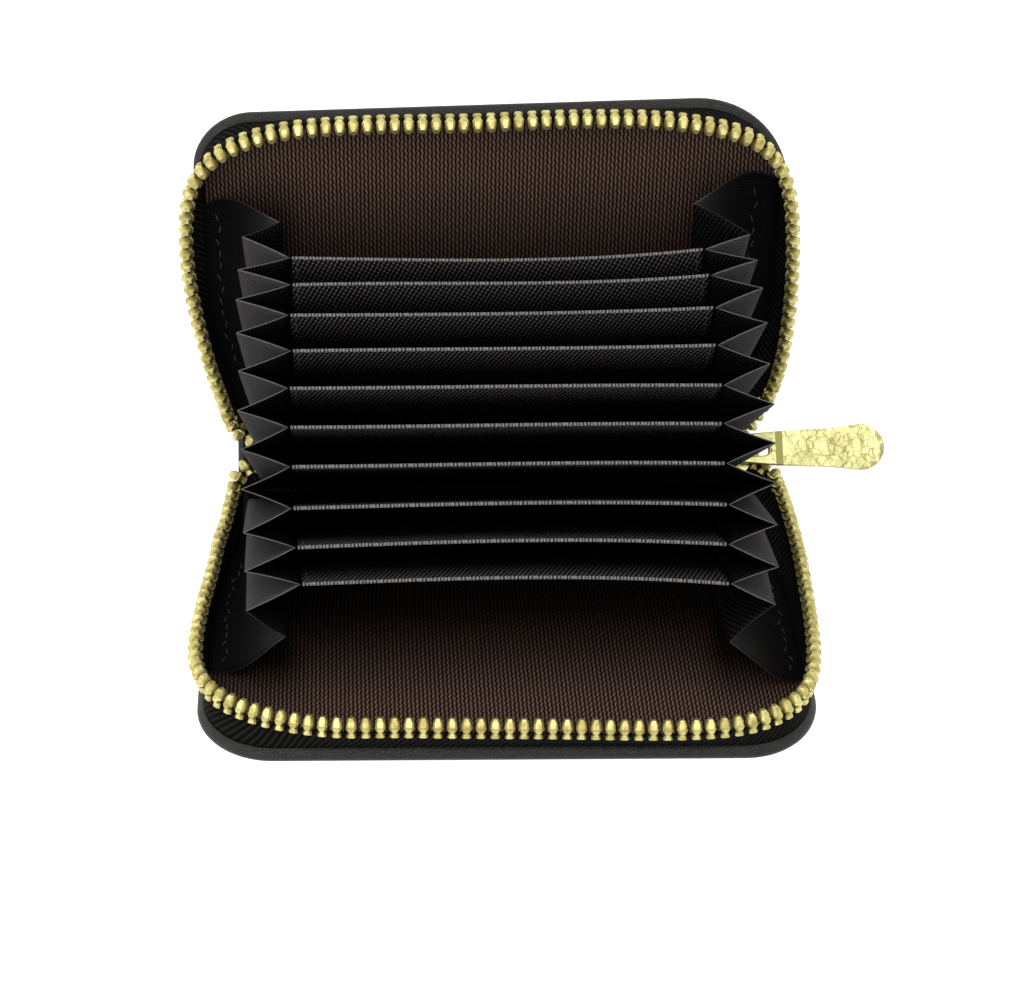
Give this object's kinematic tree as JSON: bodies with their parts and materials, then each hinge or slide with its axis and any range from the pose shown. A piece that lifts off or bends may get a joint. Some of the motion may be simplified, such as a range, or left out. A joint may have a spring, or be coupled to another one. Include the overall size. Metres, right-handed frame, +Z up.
{
  "type": "card wallet",
  "caption": "Zip-around leather card wallet standing open on its spine, with an accordion of card pockets, pleated gussets, metal zip, slider and pull tab.",
  "frame": {"origin": "middle of the spine's flat underside, on which the open wallet stands", "axes": "+X along the spine towards the pull tab, +Y towards the back cover, +Z up from the spine to the mouth"},
  "size_m": [0.1312, 0.1182, 0.0634],
  "materials": {
    "leather": "smooth charcoal black, fine grain",
    "board": "grey-brown fibre board",
    "lining": "dark brown ribbed lining cloth",
    "pocket_cloth": "near-black twill",
    "tape_cloth": "black herringbone zip tape",
    "brass": "polished yellow brass",
    "pale_gold": "pale gold plate, hammered"
  },
  "bodies": {
    "spine": {"spine_leather": "leather", "spine_board": "board", "spine_lining": "lining", "gusset_left": "pocket_cloth", "gusset_right": "pocket_cloth", "zip_tape_end_back_left": "tape_cloth", "zip_tape_end_back_right": "tape_cloth", "zip_tape_end_front_left": "tape_cloth", "zip_tape_end_front_right": "tape_cloth", "zip_teeth_end_back_left": "brass", "zip_teeth_end_back_right": "brass", "zip_teeth_end_front_left": "brass", "zip_teeth_end_front_right": "brass", "zip_chain_closed": "brass", "zip_bottom_stop": "brass", "zip_top_stop_back": "brass", "zip_top_stop_front": "brass"},
    "back_cover": {"back_cover_leather": "leather", "back_cover_board": "board", "back_cover_lining": "lining", "zip_tape_back": "tape_cloth", "zip_teeth_back": "brass"},
    "front_cover": {"front_cover_leather": "leather", "front_cover_board": "board", "front_cover_lining": "lining", "zip_tape_front": "tape_cloth", "zip_teeth_front": "brass"},
    "divider_01": {"divider_01": "pocket_cloth"},
    "divider_02": {"divider_02": "pocket_cloth"},
    "divider_03": {"divider_03": "pocket_cloth"},
    "divider_04": {"divider_04": "pocket_cloth"},
    "divider_05": {"divider_05": "pocket_cloth"},
    "divider_06": {"divider_06": "pocket_cloth"},
    "divider_07": {"divider_07": "pocket_cloth"},
    "divider_08": {"divider_08": "pocket_cloth"},
    "divider_09": {"divider_09": "pocket_cloth"},
    "divider_10": {"divider_10": "pocket_cloth"},
    "zip_slider": {"zip_slider": "pale_gold"},
    "pull_tab": {"pull_tab": "pale_gold"}
  },
  "joints": [
    {"name": "back_cover_hinge", "type": "hinge", "parent": "spine", "child": "back_cover", "pos_m": [0, 0.0096, 0.0018], "axis": [1, 0, 0], "range_deg": [0, 46.5], "deforming": ["gusset_left", "gusset_right", "zip_tape_end_back_left", "zip_tape_end_back_right", "zip_teeth_end_back_left", "zip_teeth_end_back_right"]},
    {"name": "front_cover_hinge", "type": "hinge", "parent": "spine", "child": "front_cover", "pos_m": [0, -0.0096, 0.0018], "axis": [-1, 0, 0], "range_deg": [0, 46.5], "deforming": ["gusset_left", "gusset_right", "zip_tape_end_front_left", "zip_tape_end_front_right", "zip_teeth_end_front_left", "zip_teeth_end_front_right"]},
    {"name": "divider_01_hinge", "type": "hinge", "parent": "spine", "child": "divider_01", "pos_m": [0, 0.00633, 0.0029], "axis": [1, 0, 0], "range_deg": [0, 23.41]},
    {"name": "divider_02_hinge", "type": "hinge", "parent": "spine", "child": "divider_02", "pos_m": [0, 0.00492, 0.0029], "axis": [1, 0, 0], "range_deg": [0, 18.21]},
    {"name": "divider_03_hinge", "type": "hinge", "parent": "spine", "child": "divider_03", "pos_m": [0, 0.00352, 0.0029], "axis": [1, 0, 0], "range_deg": [0, 13.01]},
    {"name": "divider_04_hinge", "type": "hinge", "parent": "spine", "child": "divider_04", "pos_m": [0, 0.00211, 0.0029], "axis": [1, 0, 0], "range_deg": [0, 7.81]},
    {"name": "divider_05_hinge", "type": "hinge", "parent": "spine", "child": "divider_05", "pos_m": [0, 0.0007, 0.0029], "axis": [1, 0, 0], "range_deg": [0, 2.61]},
    {"name": "divider_06_hinge", "type": "hinge", "parent": "spine", "child": "divider_06", "pos_m": [0, -0.0007, 0.0029], "axis": [-1, 0, 0], "range_deg": [0, 2.61]},
    {"name": "divider_07_hinge", "type": "hinge", "parent": "spine", "child": "divider_07", "pos_m": [0, -0.00211, 0.0029], "axis": [-1, 0, 0], "range_deg": [0, 7.81]},
    {"name": "divider_08_hinge", "type": "hinge", "parent": "spine", "child": "divider_08", "pos_m": [0, -0.00352, 0.0029], "axis": [-1, 0, 0], "range_deg": [0, 13.01]},
    {"name": "divider_09_hinge", "type": "hinge", "parent": "spine", "child": "divider_09", "pos_m": [0, -0.00492, 0.0029], "axis": [-1, 0, 0], "range_deg": [0, 18.21]},
    {"name": "divider_10_hinge", "type": "hinge", "parent": "spine", "child": "divider_10", "pos_m": [0, -0.00633, 0.0029], "axis": [-1, 0, 0], "range_deg": [0, 23.41]},
    {"name": "zip_slider_slide", "type": "slide", "parent": "spine", "child": "zip_slider", "axis": [1, 0, 0], "range_m": [0, 0.004], "deforming": ["zip_tape_end_back_right", "zip_tape_end_front_right", "zip_teeth_end_back_right", "zip_teeth_end_front_right"]},
    {"name": "pull_tab_hinge", "type": "hinge", "parent": "zip_slider", "child": "pull_tab", "pos_m": [0.0475, 0, 0.0088], "axis": [0, -1, 0], "range_deg": [0, 52]}
  ],
  "couplings": [
    {"joint": "divider_01_hinge", "follows": "back_cover_hinge", "ratio": 0.50323},
    {"joint": "divider_02_hinge", "follows": "back_cover_hinge", "ratio": 0.3914},
    {"joint": "divider_03_hinge", "follows": "back_cover_hinge", "ratio": 0.27957},
    {"joint": "divider_04_hinge", "follows": "back_cover_hinge", "ratio": 0.16774},
    {"joint": "divider_05_hinge", "follows": "back_cover_hinge", "ratio": 0.055914},
    {"joint": "divider_06_hinge", "follows": "front_cover_hinge", "ratio": 0.055914},
    {"joint": "divider_07_hinge", "follows": "front_cover_hinge", "ratio": 0.16774},
    {"joint": "divider_08_hinge", "follows": "front_cover_hinge", "ratio": 0.27957},
    {"joint": "divider_09_hinge", "follows": "front_cover_hinge", "ratio": 0.3914},
    {"joint": "divider_10_hinge", "follows": "front_cover_hinge", "ratio": 0.50323}
  ]
}
